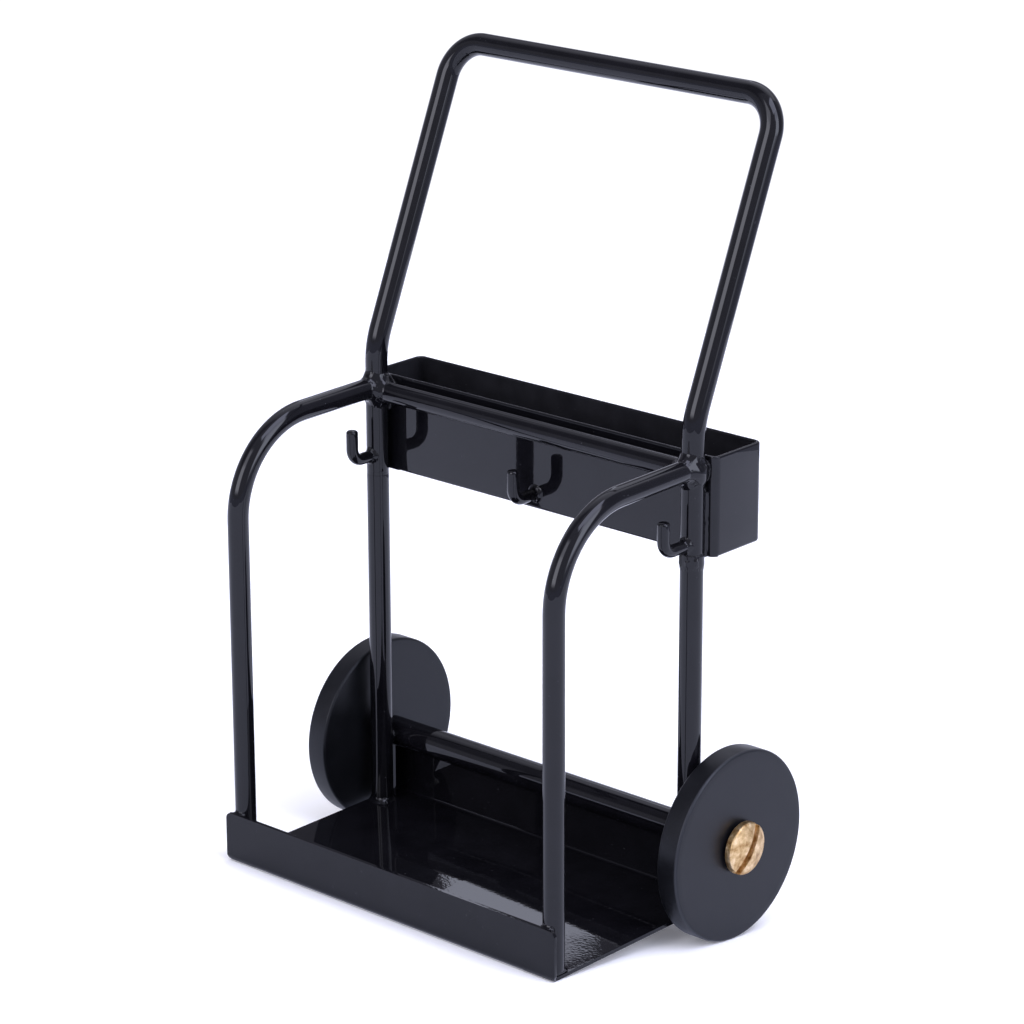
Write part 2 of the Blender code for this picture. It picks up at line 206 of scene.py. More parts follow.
def enamel(name, peel=0.0007, grain=0.9, base=(0.0034, 0.0033, 0.0044), dust=0.3, ior=1.42,
           warp=False):
    """Gloss black enamel: faint orange peel over slow ripples, hazier in patches, dust specks.

    peel is the depth of the ripples in millimetres, grain their number per millimetre.
    """
    mat, tree, shader = nodes_of(name)
    here = coords(tree)
    shader.inputs["IOR"].default_value = ior
    shader.inputs["Specular Tint"].default_value = (0.97, 0.98, 1.0, 1.0)
    speck = ramp(tree, noise(tree, here, 2.6, 1.0), [(0.0, 0.0), (0.775, 0.0), (0.80, dust)])
    cloud = ramp(tree, noise(tree, here, 0.3, 3.0),
                 [(0.35, base), (0.7, tuple(1.5 * c for c in base))])
    tree.links.new(mix(tree, speck, cloud, (0.10, 0.10, 0.11)), shader.inputs["Base Color"])
    haze = noise(tree, here, 0.22, 3.0)
    tree.links.new(ramp(tree, haze, [(0.3, 0.018), (0.75, 0.04)]), shader.inputs["Roughness"])
    fine = bump(tree, noise(tree, here, grain, 1.0), peel * MM)
    slow = bump(tree, noise(tree, here, 0.16, 0.0), peel * 3.5 * MM, 1.0, fine)
    if warp:
        slow = bump(tree, twist(tree, here), MM, 1.0, slow)
    tree.links.new(slow, shader.inputs["Normal"])
    return mat


def satin(name):
    """Satin black wheel: fine grain, a lighter outer corner of the rim (painted highlight along the
    chamfer, with rubbed wear) and a little dust.
    """
    mat, tree, shader = nodes_of(name)
    here = coords(tree)
    shader.inputs["IOR"].default_value = 1.36
    shader.inputs["Specular Tint"].default_value = (0.9, 0.93, 1.0, 1.0)
    cloud = noise(tree, here, 0.35, 4.0)
    base = ramp(tree, cloud, [(0.3, (0.0036, 0.0037, 0.0048)), (0.7, (0.0052, 0.0054, 0.0068))])
    speck = ramp(tree, noise(tree, here, 4.2, 2.0), [(0.0, 0.0), (0.73, 0.0), (0.78, 0.5)])
    # lighter outer corner of the rim: painted highlight along the chamfer line, partly rubbed wear
    edge = rim_mask(tree, WHEEL_R - 0.30, WHEEL_R - 0.08, WHEEL_X + WHEEL_T - 0.34)
    rim_sheen_and_wear = mix(tree, edge, base, (0.020, 0.021, 0.025))
    tree.links.new(mix(tree, speck, rim_sheen_and_wear, (0.05, 0.05, 0.058)), shader.inputs["Base Color"])
    tree.links.new(ramp(tree, cloud, [(0.3, 0.34), (0.7, 0.42)]), shader.inputs["Roughness"])
    tree.links.new(bump(tree, noise(tree, here, 9.0, 3.0), 0.000004), shader.inputs["Normal"])
    return mat


def brass(name):
    """Worn brass: brown stains and a rough turned face."""
    mat, tree, shader = nodes_of(name)
    here = coords(tree)
    shader.inputs["Metallic"].default_value = 1.0
    stain = noise(tree, here, 1.0, 5.0, 0.6)
    tone = ramp(tree, stain, [(0.32, (0.28, 0.145, 0.055)), (0.42, (0.48, 0.30, 0.130)),
                              (0.52, (0.63, 0.435, 0.215)), (0.66, (0.88, 0.67, 0.41))])
    tree.links.new(tone, shader.inputs["Base Color"])
    grit = noise(tree, here, 4.0, 5.0, 0.65)
    tree.links.new(ramp(tree, grit, [(0.3, 0.26), (0.7, 0.55)]), shader.inputs["Roughness"])
    fine = bump(tree, grit, 0.05 * MM, 0.6)
    tree.links.new(bump(tree, stain, 0.12 * MM, 0.6, fine), shader.inputs["Normal"])
    return mat


ENAMEL = enamel("black_enamel")
PLATE_ENAMEL = enamel("black_enamel_sprayed", 0.0018, 2.2, ior=1.335, warp=True)
# lighter base for the tray's inside faces: painted reflection of the light seen inside the tray
TRAY_ENAMEL = enamel("black_enamel_inside_painted_light", 0.0008, 0.8, (0.0125, 0.0125, 0.0145))
SATIN = satin("satin_black")
BRASS = brass("worn_brass")


# ---------------------------------------------------------------- mesh helpers

def linked(name, data):
    """New object around a mesh, light or camera, in the scene."""
    obj = bpy.data.objects.new(name, data)
    bpy.context.scene.collection.objects.link(obj)
    return obj


def to_world(verts):
    return np.asarray(verts, float) @ ROW[:3, :3].T + ROW[:3, 3]


def piece(name, verts, faces, mat, body, replaces, angle=None):
    """Smooth mesh object from the cart's frame, riding on a CAD body; sharp beyond angle."""
    verts = to_world(verts)
    mesh = bpy.data.meshes.new(name)
    mesh.from_pydata([tuple(v) for v in verts], [], [tuple(int(i) for i in f) for f in faces])
    mesh.update()
    bm = bmesh.new()
    bm.from_mesh(mesh)
    bmesh.ops.recalc_face_normals(bm, faces=bm.faces)
    bm.to_mesh(mesh)
    bm.free()
    mesh.shade_smooth()
    if angle:
        mesh.set_sharp_from_angle(angle=math.radians(angle))
    mesh.materials.append(mat)
    obj = linked(name, mesh)
    bind(obj, body, replaces)
    return obj


def bind(obj, body, replaces):
    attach(obj, body)
    if replaces:
        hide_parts(*replaces)


def rounded_path(corners, radii, steps):
    """Points along a broken line whose inner corners are rounded with the given radii."""
    path = [Vector(corners[0])]
    for before, corner, after, radius in zip(corners, corners[1:], corners[2:], radii):
        corner = Vector(corner)
        back = (Vector(before) - corner).normalized()
        ahead = (Vector(after) - corner).normalized()
        half = back.angle(ahead) / 2
        centre = corner + (back + ahead).normalized() * radius / math.sin(half)
        start = corner + back * radius / math.tan(half) - centre
        end = corner + ahead * radius / math.tan(half) - centre
        total = start.angle(end)
        for k in range(steps + 1):
            a = total * k / steps
            path.append(centre + (start * math.sin(total - a) + end * math.sin(a))
                        / math.sin(total))
    path.append(Vector(corners[-1]))
    return path


def tube(path, radius, sides, end_round):
    """Vertices and faces of a round bar along a path, with softly rounded ends."""
    path = [Vector(p) for p in path]
    first, last = (path[1] - path[0]).normalized(), (path[-1] - path[-2]).normalized()
    steps = 4
    stations = [(path[0] + first * end_round[0] * (1 - math.cos(math.pi / 2 * k / steps)),
                 radius - end_round[0] * (1 - math.sin(math.pi / 2 * k / steps)))
                for k in range(steps + 1)]
    stations += [(p, radius) for p in path[1:-1]]
    stations += [(path[-1] - last * end_round[1]
                  * (1 - math.cos(math.pi / 2 * (steps - k) / steps)),
                  radius - end_round[1] * (1 - math.sin(math.pi / 2 * (steps - k) / steps)))
                 for k in range(steps + 1)]
    tangents = []
    for k, (p, _) in enumerate(stations):
        if k <= steps:
            tangents.append(first)
        elif k >= len(stations) - steps - 1:
            tangents.append(last)
        else:
            tangents.append(((stations[k + 1][0] - p).normalized()
                             + (p - stations[k - 1][0]).normalized()).normalized())
    side = tangents[0].orthogonal().normalized()
    verts, faces = [], []
    for (p, r), t in zip(stations, tangents):
        side = (side - t * side.dot(t)).normalized()
        up = t.cross(side)
        for j in range(sides):
            a = 2 * math.pi * j / sides
            verts.append(p + (side * math.cos(a) + up * math.sin(a)) * r)
    n = len(stations)
    for i in range(n - 1):
        for j in range(sides):
            k = (j + 1) % sides
            faces.append((i * sides + j, i * sides + k, (i + 1) * sides + k, (i + 1) * sides + j))
    faces.append(tuple(range(sides))[::-1])
    faces.append(tuple((n - 1) * sides + j for j in range(sides)))
    return verts, faces


def densify(path, step=1.5):
    """The same path with points no further apart than about the step."""
    out = [Vector(path[0])]
    for a, b in zip(path, path[1:]):
        a, b = Vector(a), Vector(b)
        count = max(1, int((b - a).length / step))
        for k in range(1, count + 1):
            out.append(a + (b - a) * k / count)
    return out


# ---------------------------------------------------------------- distance fields for solder joints

def f_rod(start, end, radius):
    """Distance to a round bar with round ends."""
    start, end = np.array(start, float), np.array(end, float)
    axis = end - start

    def field(p):
        t = np.clip((p - start) @ axis / (axis @ axis), 0.0, 1.0)
        return np.linalg.norm(p - start - t[:, None] * axis, axis=1) - radius
    return field


def f_box(lo, hi, corner=0.0):
    """Distance to a box with rounded corners."""
    lo, hi = np.array(lo, float), np.array(hi, float)

    def field(p):
        q = np.abs(p - (lo + hi) / 2) - (hi - lo) / 2 + corner
        return (np.linalg.norm(np.maximum(q, 0.0), axis=1)
                + np.minimum(q.max(axis=1), 0.0) - corner)
    return field


def f_tray():
    """Distance to the walls of the tray: a shell with rounded upright corners and soft edges."""
    soft = 0.12
    half = np.array([TRAY_HALF_W, (TRAY_BACK - TRAY_FRONT) / 2])
    centre = np.array([TRAY_X, (TRAY_BACK + TRAY_FRONT) / 2])

    def field(p):
        q = np.abs(p[:, :2] - centre) - half + TRAY_CORNER_R
        flat = (np.linalg.norm(np.maximum(q, 0.0), axis=1)
                + np.minimum(q.max(axis=1), 0.0) - TRAY_CORNER_R)
        wall = np.maximum(flat, -(flat + TRAY_WALL))
        high = np.abs(p[:, 2] - (TRAY_TOP + TRAY_BOTTOM) / 2) - (TRAY_TOP - TRAY_BOTTOM) / 2
        w = np.stack([wall, high], axis=1) + soft
        return (np.linalg.norm(np.maximum(w, 0.0), axis=1) + np.minimum(w.max(axis=1), 0.0)
                - soft)
    return field


def f_union(*fields):
    return lambda p: np.min([field(p) for field in fields], axis=0)


def f_join(radius, *fields):
    """Union with a round fillet of the given radius in every inner corner."""
    def field(p):
        total = fields[0](p)
        for other in fields[1:]:
            d = other(p)
            near = np.minimum(total, d)
            fillet = np.maximum(radius, near) - np.hypot(np.maximum(radius - total, 0.0),
                                                         np.maximum(radius - d, 0.0))
            total = np.where(near > 0, np.minimum(fillet, near), near)
        return total
    return field


def ripple(p, seed, size):
    """Smooth lumps about the given size, a sum of a few seeded waves."""
    waves = 7
    rng = np.random.default_rng(seed)
    total = np.zeros(len(p))
    for _ in range(waves):
        way = rng.normal(size=3)
        way /= np.linalg.norm(way)
        total += np.sin(p @ way * (2 * math.pi / (size * rng.uniform(0.7, 1.6)))
                        + rng.uniform(0, 6.28))
    return total / waves ** 0.5


def surface(field, lo, hi, step):
    """Quads of the zero surface of a field (surface nets), pulled onto it by Newton steps."""
    axes = [np.arange(a, b + step, step) for a, b in zip(lo, hi)]
    shape = tuple(len(a) for a in axes)
    grid = np.stack(np.meshgrid(*axes, indexing="ij"), axis=-1).reshape(-1, 3)
    f = field(grid).reshape(shape)
    inside = f < 0
    cells = tuple(n - 1 for n in shape)
    total = np.zeros(cells + (3,))
    count = np.zeros(cells)
    index = np.stack(np.meshgrid(*[np.arange(n) for n in shape], indexing="ij"), -1).astype(float)
    crossings = []
    for ax in range(3):
        a = [slice(None)] * 3
        b = [slice(None)] * 3
        a[ax], b[ax] = slice(0, -1), slice(1, None)
        a, b = tuple(a), tuple(b)
        change = inside[a] != inside[b]
        with np.errstate(divide="ignore", invalid="ignore"):
            t = np.where(change, f[a] / (f[a] - f[b]), 0.0)
        place = index[a].copy()
        place[..., ax] += t
        crossings.append((ax, change, inside[a]))
        u, v = [k for k in range(3) if k != ax]
        for du in (0, 1):
            for dv in (0, 1):
                src = [slice(None)] * 3
                dst = [slice(None)] * 3
                src[u] = slice(du, shape[u] - 1 + du)
                src[v] = slice(dv, shape[v] - 1 + dv)
                src, dst = tuple(src), tuple(dst)
                total[dst] += place[src] * change[src][..., None]
                count[dst] += change[src]
    used = count > 0
    number = -np.ones(cells, int)
    number[used] = np.arange(used.sum())
    points = total[used] / count[used][:, None]
    points = np.array([a[0] for a in axes]) + points * step
    faces = []
    for ax, change, first in crossings:
        u, v = [k for k in range(3) if k != ax]
        where = np.argwhere(change)
        keep = ((where[:, u] > 0) & (where[:, v] > 0)
                & (where[:, u] < shape[u] - 1) & (where[:, v] < shape[v] - 1))
        where = where[keep]
        corner = []
        for du, dv in ((1, 1), (0, 1), (0, 0), (1, 0)):
            c = where.copy()
            c[:, u] -= du
            c[:, v] -= dv
            corner.append(number[tuple(c.T)])
        quad = np.stack(corner, axis=1)
        flip = first[tuple(where.T)]
        quad[flip] = quad[flip][:, ::-1]
        faces.append(quad)
    faces = np.concatenate(faces)
    h = step * 0.1
    for _ in range(4):
        d = field(points)
        g = np.stack([(field(points + np.eye(3)[k] * h) - field(points - np.eye(3)[k] * h))
                      / (2 * h) for k in range(3)], axis=1)
        size = np.maximum((g ** 2).sum(axis=1), 0.05)
        points = points - g * (np.clip(d, -step, step) / size)[:, None]
    return points, faces


def blob(name, field, bars, lo, hi, replaces, seed, step=0.13, lumps=0.05, sink=0.012):
    """Solder joint: the filleted union of its bars, a hair inside them away from the joint."""
    limit = f_box(lo, hi)
    plain = f_union(*bars)

    def shape(p):
        d = field(p)
        filled = np.clip((plain(p) - d) / 0.12, 0.0, 1.0)
        return np.maximum(d + sink * (1 - filled) - lumps * filled * ripple(p, seed, 2.0), limit(p))
    pad = step * 1.5
    points, faces = surface(shape, np.array(lo) - pad, np.array(hi) + pad, step)
    return piece(name, points, faces, ENAMEL, "frame", replaces)


# ---------------------------------------------------------------- rods

def arch_path(sign):
    """Front leg, bend and top bar of one side arch."""
    foot_lift = 0.21    # the leg's foot stands on the fold of the lip
    return rounded_path([(sign * HALF_W, FRONT_Y, FLOOR_Z + foot_lift),
                         (sign * HALF_W, FRONT_Y, ARCH_Z - ARCH_DROP),
                         (sign * HALF_W, -HOOP_R - GAP, ARCH_Z)], (ARCH_BEND_R,), 40)


def hoop_path():
    """The handle hoop, from the splice on the left post over the crossbar to the right one."""
    top_y = HOOP_REACH * math.sin(HOOP_LEAN)
    top_z = HOOP_BEND_Z + HOOP_REACH * math.cos(HOOP_LEAN)
    return rounded_path([(-HALF_W, 0, SPLICE_Z + GAP), (-HALF_W, 0, HOOP_BEND_Z),
                         (-HALF_W, top_y, top_z), (HALF_W, top_y, top_z),
                         (HALF_W, 0, HOOP_BEND_Z), (HALF_W, 0, SPLICE_Z + GAP)],
                        (HOOP_BEND_R, HOOP_CORNER_R, HOOP_CORNER_R, HOOP_BEND_R), 28)


def rod(name, path, radius, sides, ends=(0.3, 0.3)):
    verts, faces = tube(densify(path), radius, sides, ends)
    return piece(name + "_bar", verts, faces, ENAMEL, "frame", [name], 40)


def make_rods():
    rod("handle_hoop", hoop_path(), HOOP_R, 56)
    for side, sign in (("left", -1), ("right", 1)):
        rod("upright_" + side, [(sign * HALF_W, 0, FLOOR_Z + GAP),
                                (sign * HALF_W, 0, SPLICE_Z - GAP)], HOOP_R, 56)
        rod("side_arch_" + side, arch_path(sign), ARCH_R, 56)
    reach = HALF_W - HOOP_R - GAP
    rod("cross_rod", [(-reach, 0, CROSS_Z), (reach, 0, CROSS_Z)], ARCH_R, 56)
    rod("axle_bar", [(-AXLE_HALF_L, AXLE_Y, AXLE_Z), (AXLE_HALF_L, AXLE_Y, AXLE_Z)], AXLE_R, 64)
    for side, (x, root, reach_y, stem, tip) in HOOKS.items():
        path = rounded_path([(x, root - GAP, stem), (x, reach_y, stem), (x, reach_y, tip)],
                            (HOOK_BEND_R,), 20)
        rod("hook_" + side, path, HOOK_R, 40, (0.1, 0.38))


# ---------------------------------------------------------------- folded sheet parts

def plate_stations():
    """(y, z, half width) along the outer face, from the top of the lip to the top of the flange."""
    corner, steps = 0.9, 8
    out = [(LIP_Y, LIP_TOP - corner * (1 - math.cos(math.pi / 2 * k / steps)),
            LIP_HALF_W - corner * (1 - math.sin(math.pi / 2 * k / steps)))
           for k in range(steps + 1)]
    side = LIP_HALF_W - PLATE_HALF_W
    out += [(LIP_Y, z, LIP_HALF_W) for z in (8.2, 6.4)]
    out += [(LIP_Y + FOLD_R * (1 - math.cos(math.pi / 2 * k / 16)),
             PLATE_Z + FOLD_R * (1 - math.sin(math.pi / 2 * k / 16)),
             LIP_HALF_W - side * k / 16) for k in range(17)]
    out += [(y, PLATE_Z, PLATE_HALF_W) for y in (-18.0, -10.0, -3.0)]
    out += [(FLANGE_Y - FOLD_R * (1 - math.sin(math.pi / 2 * k / 12)),
             PLATE_Z + FOLD_R * (1 - math.cos(math.pi / 2 * k / 12)), PLATE_HALF_W)
            for k in range(13)]
    near = FLANGE_Y - SHEET - AXLE_Y
    out.append((FLANGE_Y, AXLE_Z - math.sqrt(AXLE_R ** 2 - near ** 2) - GAP, PLATE_HALF_W))
    return out


def apply_modifiers(obj):
    """Replace the object's mesh with its modified one."""
    deps = bpy.context.evaluated_depsgraph_get()
    mesh = bpy.data.meshes.new_from_object(obj.evaluated_get(deps))
    old = obj.data
    obj.modifiers.clear()
    obj.data = mesh
    bpy.data.meshes.remove(old)


def make_plate():
    """Folded sheet with softened edges."""
    columns = [-1.0, -0.985, -0.66, -0.33, 0.0, 0.33, 0.66, 0.985, 1.0]
    rows = plate_stations()
    verts = [(half * c, y, z) for y, z, half in rows for c in columns]
    n = len(columns)
    faces = [(i * n + j, (i + 1) * n + j, (i + 1) * n + j + 1, i * n + j + 1)
             for i in range(len(rows) - 1) for j in range(n - 1)]
    mesh = bpy.data.meshes.new("base_plate_skin")
    mesh.from_pydata([tuple(v) for v in to_world(verts)], [], faces)
    mesh.update()
    if mesh.polygons[0].normal.y > 0:
        mesh.flip_normals()
    mesh.shade_smooth()
    mesh.materials.append(PLATE_ENAMEL)
    obj = linked("base_plate_skin", mesh)
    solid = obj.modifiers.new("sheet", "SOLIDIFY")
    solid.thickness = SHEET * MM
    solid.offset = -1.0
    solid.use_even_offset = True
    solid.use_quality_normals = True
    edge = obj.modifiers.new("edge", "BEVEL")
    edge.width = 0.16 * MM
    edge.segments = 4
    edge.limit_method = "ANGLE"
    edge.angle_limit = math.radians(50)
    weigh = obj.modifiers.new("weigh", "WEIGHTED_NORMAL")
    weigh.keep_sharp = True
    apply_modifiers(obj)
    bind(obj, "frame", ["base_plate"])


def ring(inset, z, count=10):
    """Rounded rectangle of the tray, drawn in by inset."""
    r = max(TRAY_CORNER_R - inset, 0.05)
    hx = TRAY_HALF_W - inset - r
    hy = (TRAY_BACK - TRAY_FRONT) / 2 - inset - r
    cy = (TRAY_BACK + TRAY_FRONT) / 2
    out = []
    for quarter, (sx, sy) in enumerate(((1, 1), (-1, 1), (-1, -1), (1, -1))):
        for k in range(count + 1):
            a = math.pi / 2 * (quarter + k / count)
            out.append((TRAY_X + sx * hx + r * math.cos(a), cy + sy * hy + r * math.sin(a), z))
    return out


def make_tray():
    """Box with rounded upright corners, a soft bottom edge and a paint-rounded rim."""
    bottom, top, wall = TRAY_BOTTOM, TRAY_TOP, TRAY_WALL
    middle, edge = 8.0, 0.42    # inset of the tray's middle, radius of its bottom edge
    profile = [(middle, bottom), (1.2, bottom), (edge, bottom)]
    profile += [(edge * (1 - math.sin(math.pi / 2 * k / 7)),
                 bottom + edge * (1 - math.cos(math.pi / 2 * k / 7))) for k in range(1, 8)]
    profile += [(0.0, bottom + 3.0), (0.0, (bottom + top) / 2), (0.0, top - 3.0)]
    outer, inner = 0.3, 0.2
    profile += [(outer * (1 - math.cos(math.pi / 2 * k / 7)),
                 top - outer + outer * math.sin(math.pi / 2 * k / 7)) for k in range(8)]
    profile += [(wall - inner + inner * math.sin(math.pi / 2 * k / 5),
                 top - inner + inner * math.cos(math.pi / 2 * k / 5)) for k in range(1, 6)]
    profile += [(wall, top - 3.0), (wall, bottom + 3.0)]
    fold = 0.55
    profile += [(wall + fold * (1 - math.cos(math.pi / 2 * k / 6)),
                 bottom + wall + fold * (1 - math.sin(math.pi / 2 * k / 6))) for k in range(7)]
    profile += [(middle, bottom + wall)]
    profile = [(min(i, (TRAY_BACK - TRAY_FRONT) / 2 - 0.1), z) for i, z in profile]
    verts, faces = [], []
    for inset, z in profile:
        verts += ring(inset, z)
    n = len(ring(0, 0))
    rows = len(profile)
    for i in range(rows - 1):
        for j in range(n):
            k = (j + 1) % n
            faces.append((i * n + j, i * n + k, (i + 1) * n + k, (i + 1) * n + j))
    faces.append(tuple(range(n))[::-1])
    faces.append(tuple((rows - 1) * n + j for j in range(n)))
    box = piece("tray_box", verts, faces, ENAMEL, "frame", ["tray"], 35)
    # the inside faces take the lighter enamel, a painted reflection of the light inside the tray
    box.data.materials.append(TRAY_ENAMEL)
    first_inside = profile.index((wall, top - 3.0)) - 2
    for poly in box.data.polygons:
        if poly.index >= first_inside * n and poly.index != (rows - 1) * n:
            poly.material_index = 1


# ---------------------------------------------------------------- solder joints

def make_joints():
    """Filleted solder joints, each cut out of the union of the bars that meet there."""
    tray = f_tray()
    for k, (side, s) in enumerate((("left", -1), ("right", 1))):
        x = s * HALF_W
        post = f_rod((x, 0, SPLICE_Z - 9), (x, 0, ARCH_Z + 9), HOOP_R)
        drop = ARCH_DROP / -FRONT_Y
        arch = f_rod((x, -9, ARCH_Z - 9 * drop), (x, 0, ARCH_Z), ARCH_R)
        beam = f_rod((x - s * 9, 0, CROSS_Z), (x, 0, CROSS_Z), ARCH_R)
        bars = f_join(1.25, post, arch, beam)
        whole = f_join(0.5, bars, tray)
        lo = (min(x - s * 5.2, x + s * 2.6), -3.6, ARCH_Z - 3.4)
        hi = (max(x - s * 5.2, x + s * 2.6), 2.4, ARCH_Z + 3.0)
        blob("joint_" + side, whole, (post, arch, beam, tray), lo, hi,
             ["solder_arch_" + side, "solder_cross_" + side], 11 + k, 0.12, 0.085)
        seam = f_join(0.25 if s < 0 else 0.75, post, tray)
        lo = (min(x - s * 2.4, x + s * 2.6), -1.6, TRAY_BOTTOM - 1.2)
        hi = (max(x - s * 2.4, x + s * 2.6), 2.5, ARCH_Z - 3.3)
        blob("seam_" + side, seam, (post, tray), lo, hi, None, 21 + k, 0.12, 0.02)
        hx, root, reach, stem, _ = HOOKS[side]
        hook = f_rod((hx, 0, stem), (hx, reach + 2.5, stem), HOOK_R)
        lo, hi = (x - 2.0, root - 1.5, stem - 2.3), (x + 2.0, 0.3, stem + 2.5)
        blob("hook_root_" + side, f_join(0.6, post, hook), (post, hook), lo, hi,
             ["solder_hook_" + side], 31 + k, 0.11)
        plate = f_box((x - 8, -30, PLATE_Z), (x + 8, 6, FLOOR_Z))
        bar = f_rod((x - 8, AXLE_Y, AXLE_Z), (x + 8, AXLE_Y, AXLE_Z), AXLE_R)
        low = f_rod((x, 0, FLOOR_Z - 0.4), (x, 0, 30), HOOP_R)
        edge = PLATE_HALF_W - 0.12
        lo = (min(x - s * 3.2, s * edge), -2.8, FLOOR_Z - 0.2)
        hi = (max(x - s * 3.2, s * edge), 2.7, FLOOR_Z + 2.2)
        blob("foot_rear_" + side, f_join(0.9, low, plate), (low, plate), lo, hi,
             ["solder_upright_foot_" + side], 41 + k, 0.12)
        blob("axle_joint_" + side, f_join(0.8, low, bar), (low, bar), (x - 2.4, -0.6, AXLE_Z - 2.8),
             (x + 1.68, 3.4, AXLE_Z + 2.8), None, 51 + k, 0.12)
        leg = f_rod((x, FRONT_Y, FLOOR_Z - 0.2), (x, FRONT_Y, 30), ARCH_R)
        lip = f_box((x - 8, LIP_Y, PLATE_Z), (x + 8, LIP_Y + SHEET, LIP_TOP), 0.16)
        lo = (min(x - s * 3.4, s * edge), LIP_Y + 0.15, FLOOR_Z - 0.2)
        hi = (max(x - s * 3.4, s * edge), FRONT_Y + 2.9, LIP_TOP + 1.2)
        foot = f_join(0.8, f_join(0.6, leg, lip), plate)
        blob("foot_front_" + side, foot, (leg, lip, plate), lo, hi,
             ["solder_arch_foot_" + side], 61 + k, 0.13)
    # the splice of the right post, with two drops of solder left on it
    x, z = HALF_W, SPLICE_Z
    collar = f_rod((x, 0, z - 0.5), (x, 0, z + 0.3), HOOP_R + 0.05)
    post = f_rod((x, 0, z - 9), (x, 0, z + 9), HOOP_R)
    drops = [f_rod((x + dx, dy, z - 0.35), (x + dx, dy, z + up), size)
             for dx, dy, up, size in ((-0.62, -1.36, 0.35, 0.28), (1.27, -0.72, 0.0, 0.30),
                                      (0.45, -1.42, -0.1, 0.20))]
    blob("splice_right", f_join(0.3, post, collar, *drops), (post,), (x - 2.2, -2.2, z - 2.2),
         (x + 2.2, 2.2, z + 0.88), None, 81, 0.1, 0.03)
    hx, root, reach, stem, _ = HOOKS["middle"]
    stem_rod = f_rod((hx, root + 0.1, stem), (hx, reach + 2.4, stem), HOOK_R)
    lo, hi = (hx - 2.0, root - 1.6, stem - 1.95), (hx + 2.3, root + 0.3, stem + 2.2)
    blob("hook_root_middle", f_join(0.6, stem_rod, tray), (stem_rod, tray), lo, hi,
         ["solder_hook_middle"], 71, 0.11)


# ---------------------------------------------------------------- wheels and screws

def lathe(outline, x_sign, segments):
    """Turned body about the axle: outline of (radius, x) points, closed."""
    verts, faces = [], []
    n = len(outline)
    for j in range(segments):
        a = 2 * math.pi * j / segments
        for r, x in outline:
            verts.append((x_sign * x, AXLE_Y + r * math.sin(a), AXLE_Z + r * math.cos(a)))
    for j in range(segments):
        k = (j + 1) % segments
        for i in range(n):
            m = (i + 1) % n
            faces.append((j * n + i, k * n + i, k * n + m, j * n + m))
    return verts, faces


def arc(cr, cx, radius, start, end, steps):
    """Points (radius, x) on an arc; angles from the outward radius towards +x."""
    return [(cr + radius * math.cos(math.radians(start + (end - start) * k / steps)),
             cx + radius * math.sin(math.radians(start + (end - start) * k / steps)))
            for k in range(steps + 1)]


def make_wheels():
    """Plain discs with rounded rims and a softened bore."""
    inner, outer, e = WHEEL_X, WHEEL_X + WHEEL_T, WHEEL_EDGE
    for side, s in (("left", -1), ("right", 1)):
        outline = [(BORE_R, inner + 0.15), (BORE_R + 0.12, inner)]
        outline += [(WHEEL_R * q, inner) for q in (0.3, 0.6, 0.9)]
        outline += arc(WHEEL_R - e, inner + e, e, -90, 0, 6)
        outline += arc(WHEEL_R - e, outer - e, e, 0, 90, 6)
        outline += [(WHEEL_R * q, outer) for q in (0.9, 0.6, 0.3)]
        outline += [(BORE_R + 0.12, outer), (BORE_R, outer - 0.15)]
        verts, faces = lathe(outline, s, 160)
        piece("wheel_disc_" + side, verts, faces, SATIN, "wheel_" + side, ["wheel_" + side],
              50)


def slot_tool(name, side, sign):
    """Box that cuts the screwdriver slot, in metres in the cart's frame."""
    beyond = 0.5    # the box stands proud of the crown
    bm = bmesh.new()
    bmesh.ops.create_cube(bm, size=1.0)
    centre = Vector((sign * (HEAD_X + HEAD_T + beyond), AXLE_Y, AXLE_Z)) * MM
    place = (Matrix.Translation(centre) @ Matrix.Rotation(SLOT_TURN[side], 4, "X")
             @ Matrix.Diagonal((2 * (SLOT_DEPTH + beyond) * MM, 9 * MM, SLOT_W * MM, 1.0)))
    bmesh.ops.transform(bm, matrix=place, verts=bm.verts)
    mesh = bpy.data.meshes.new(name)
    bm.to_mesh(mesh)
    bm.free()
    return linked(name, mesh)


